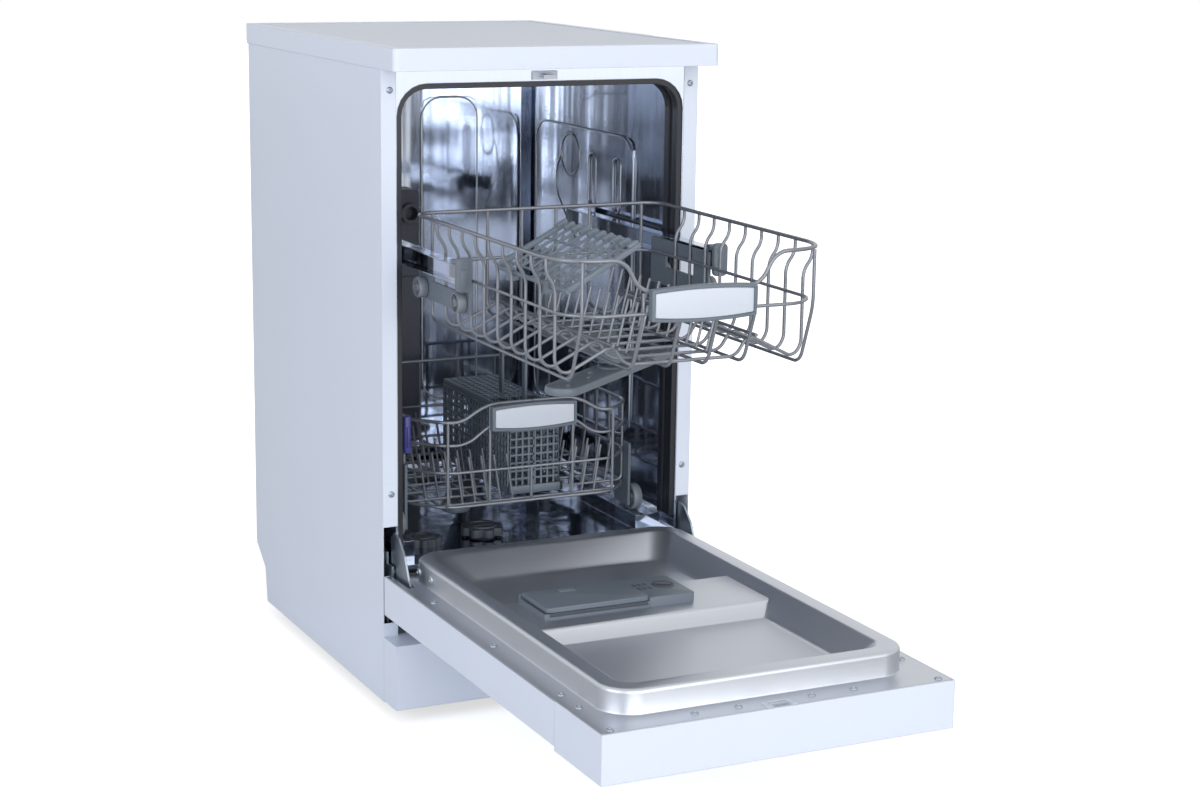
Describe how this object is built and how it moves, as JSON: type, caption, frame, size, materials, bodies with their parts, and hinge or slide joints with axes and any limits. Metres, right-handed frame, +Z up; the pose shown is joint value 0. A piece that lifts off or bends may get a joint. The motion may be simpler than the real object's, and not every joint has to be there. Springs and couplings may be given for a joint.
{
  "type": "slimline dishwasher",
  "caption": "Free-standing slimline dishwasher, white, with its door open flat and the wire upper rack drawn out over it.",
  "frame": {"origin": "on the floor, at mid-width, below the front edge of the worktop", "axes": "+X to the right seen from the front, +Y towards the rear, +Z up"},
  "size_m": [0.448, 1.174, 0.86],
  "materials": {
    "white_steel": "white enamel, semi-gloss",
    "worktop_board": "white, satin",
    "stainless": "bright rolled stainless sheet",
    "zinc_steel": "galvanised",
    "white_plastic": "white, satin",
    "grey_plastic": "mid grey, fine grain",
    "dark_plastic": "charcoal, fine grain",
    "rubber": "black, matt",
    "coated_wire": "nylon-coated wire",
    "concrete": "cast concrete",
    "board": "printed board"
  },
  "bodies": {
    "cabinet": {"worktop": "worktop_board", "worktop_inlay": "worktop_board", "side_panel_left": "white_steel", "side_panel_right": "white_steel", "rear_panel": "zinc_steel", "base_tray": "dark_plastic", "plinth": "white_steel", "levelling_feet": "dark_plastic", "counterweight": "concrete", "tub": "stainless", "tub_gasket": "rubber", "latch_striker": "white_plastic", "rail_guides": "dark_plastic", "water_duct": "dark_plastic", "sump": "dark_plastic", "softener": "white_plastic", "wash_pump": "dark_plastic", "drain_pump": "dark_plastic", "inlet_valve": "white_plastic", "drain_outlet": "dark_plastic", "hinge_brackets": "zinc_steel"},
    "door": {"door_skin": "white_steel", "door_liner": "stainless", "control_panel": "white_plastic", "control_board": "board", "door_latch": "white_plastic", "dispenser_body": "grey_plastic", "hinge_arms": "zinc_steel"},
    "rail_pair": {"rails": "stainless", "rail_end_clips": "grey_plastic"},
    "upper_rack": {"upper_rack_basket": "coated_wire", "upper_handle_frame": "grey_plastic", "upper_handle_panel": "white_plastic", "roller_carriers": "grey_plastic", "feed_tube": "grey_plastic", "shelf_clips": "grey_plastic"},
    "lower_rack": {"lower_rack_basket": "coated_wire", "lower_handle_frame": "grey_plastic", "lower_handle_panel": "white_plastic", "wheel_carriers": "grey_plastic", "cutlery_basket": "grey_plastic"},
    "guide_rollers_body": {"guide_rollers": "grey_plastic"},
    "filter_insert_body": {"filter_insert": "grey_plastic"},
    "salt_cap_body": {"salt_cap": "grey_plastic"},
    "lower_spray_arm_body": {"lower_spray_arm": "grey_plastic"},
    "button_power_body": {"button_power": "grey_plastic"},
    "button_program_body": {"button_program": "grey_plastic"},
    "button_start_body": {"button_start": "grey_plastic"},
    "dispenser_lid_body": {"dispenser_lid": "grey_plastic"},
    "rinse_aid_cap_body": {"rinse_aid_cap": "dark_plastic"},
    "rail_rollers_front_body": {"rail_rollers_front": "grey_plastic"},
    "rail_rollers_rear_body": {"rail_rollers_rear": "grey_plastic"},
    "lower_rollers_front_body": {"lower_rollers_front": "grey_plastic"},
    "lower_rollers_rear_body": {"lower_rollers_rear": "grey_plastic"},
    "upper_spray_arm_body": {"upper_spray_arm": "grey_plastic"},
    "cup_shelf_body": {"cup_shelf": "grey_plastic"},
    "rack_wheels_front_body": {"rack_wheels_front": "grey_plastic"},
    "rack_wheels_rear_body": {"rack_wheels_rear": "grey_plastic"}
  },
  "joints": [
    {"name": "door_hinge", "type": "hinge", "parent": "cabinet", "child": "door", "pos_m": [0, 0.052, 0.19], "axis": [1, 0, 0], "range_deg": [-90, 0]},
    {"name": "rail_slide", "type": "slide", "parent": "cabinet", "child": "rail_pair", "axis": [0, 1, 0], "range_m": [0, 0.19]},
    {"name": "upper_rack_slide", "type": "slide", "parent": "cabinet", "child": "upper_rack", "axis": [0, 1, 0], "range_m": [0, 0.445]},
    {"name": "lower_rack_slide", "type": "slide", "parent": "cabinet", "child": "lower_rack", "axis": [0, -1, 0], "range_m": [0, 0.4]},
    {"name": "upper_arm_spin", "type": "hinge", "parent": "upper_rack", "child": "upper_spray_arm_body", "pos_m": [0, -0.15, 0.475], "axis": [0, 0, 1], "continuous": true},
    {"name": "lower_arm_spin", "type": "hinge", "parent": "cabinet", "child": "lower_spray_arm_body", "pos_m": [0, 0.31, 0.23], "axis": [0, 0, 1], "continuous": true},
    {"name": "dispenser_lid_hinge", "type": "hinge", "parent": "door", "child": "dispenser_lid_body", "pos_m": [0, -0.184, 0.2168], "axis": [1, 0, 0], "range_deg": [-80, 0]},
    {"name": "rinse_cap_turn", "type": "hinge", "parent": "door", "child": "rinse_aid_cap_body", "pos_m": [0.045, -0.212, 0.213], "axis": [0, 0, 1], "range_deg": [0, 90]},
    {"name": "cup_shelf_fold", "type": "hinge", "parent": "upper_rack", "child": "cup_shelf_body", "pos_m": [-0.151, -0.245, 0.613], "axis": [0, -1, 0], "range_deg": [0, 55]},
    {"name": "filter_turn", "type": "hinge", "parent": "cabinet", "child": "filter_insert_body", "pos_m": [-0.042, 0.15, 0.2], "axis": [0, 0, 1], "range_deg": [0, 45]},
    {"name": "salt_cap_turn", "type": "hinge", "parent": "cabinet", "child": "salt_cap_body", "pos_m": [-0.13, 0.142, 0.2], "axis": [0, 0, 1], "range_deg": [0, 180]},
    {"name": "power_press", "type": "slide", "parent": "door", "child": "button_power_body", "axis": [0, 0, 1], "range_m": [0, 0.0015], "stiffness_N_per_m": 400},
    {"name": "program_press", "type": "slide", "parent": "door", "child": "button_program_body", "axis": [0, 0, 1], "range_m": [0, 0.0015], "stiffness_N_per_m": 400},
    {"name": "start_press", "type": "slide", "parent": "door", "child": "button_start_body", "axis": [0, 0, 1], "range_m": [0, 0.0015], "stiffness_N_per_m": 400},
    {"name": "guide_roller_spin", "type": "hinge", "parent": "cabinet", "child": "guide_rollers_body", "pos_m": [0, 0.106, 0.597], "axis": [1, 0, 0], "continuous": true},
    {"name": "rail_roller_front_spin", "type": "hinge", "parent": "upper_rack", "child": "rail_rollers_front_body", "pos_m": [0, -0.08, 0.597], "axis": [1, 0, 0], "continuous": true},
    {"name": "rail_roller_rear_spin", "type": "hinge", "parent": "upper_rack", "child": "rail_rollers_rear_body", "pos_m": [0, 0.045, 0.597], "axis": [1, 0, 0], "continuous": true},
    {"name": "lower_roller_front_spin", "type": "hinge", "parent": "upper_rack", "child": "lower_rollers_front_body", "pos_m": [0, -0.08, 0.56], "axis": [1, 0, 0], "continuous": true},
    {"name": "lower_roller_rear_spin", "type": "hinge", "parent": "upper_rack", "child": "lower_rollers_rear_body", "pos_m": [0, 0.045, 0.56], "axis": [1, 0, 0], "continuous": true},
    {"name": "wheel_front_spin", "type": "hinge", "parent": "lower_rack", "child": "rack_wheels_front_body", "pos_m": [0, 0.126, 0.2348], "axis": [1, 0, 0], "continuous": true},
    {"name": "wheel_rear_spin", "type": "hinge", "parent": "lower_rack", "child": "rack_wheels_rear_body", "pos_m": [0, 0.426, 0.2348], "axis": [1, 0, 0], "continuous": true}
  ],
  "couplings": [
    {"joint": "rail_slide", "follows": "door_hinge", "m_per_rad": -0.12096},
    {"joint": "upper_rack_slide", "follows": "door_hinge", "m_per_rad": -0.2833},
    {"joint": "guide_roller_spin", "follows": "door_hinge", "ratio": 11.859},
    {"joint": "rail_roller_front_spin", "follows": "door_hinge", "ratio": 15.915},
    {"joint": "rail_roller_rear_spin", "follows": "door_hinge", "ratio": 15.915},
    {"joint": "wheel_front_spin", "follows": "lower_rack_slide", "rad_per_m": 55.556},
    {"joint": "wheel_rear_spin", "follows": "lower_rack_slide", "rad_per_m": 55.556}
  ]
}
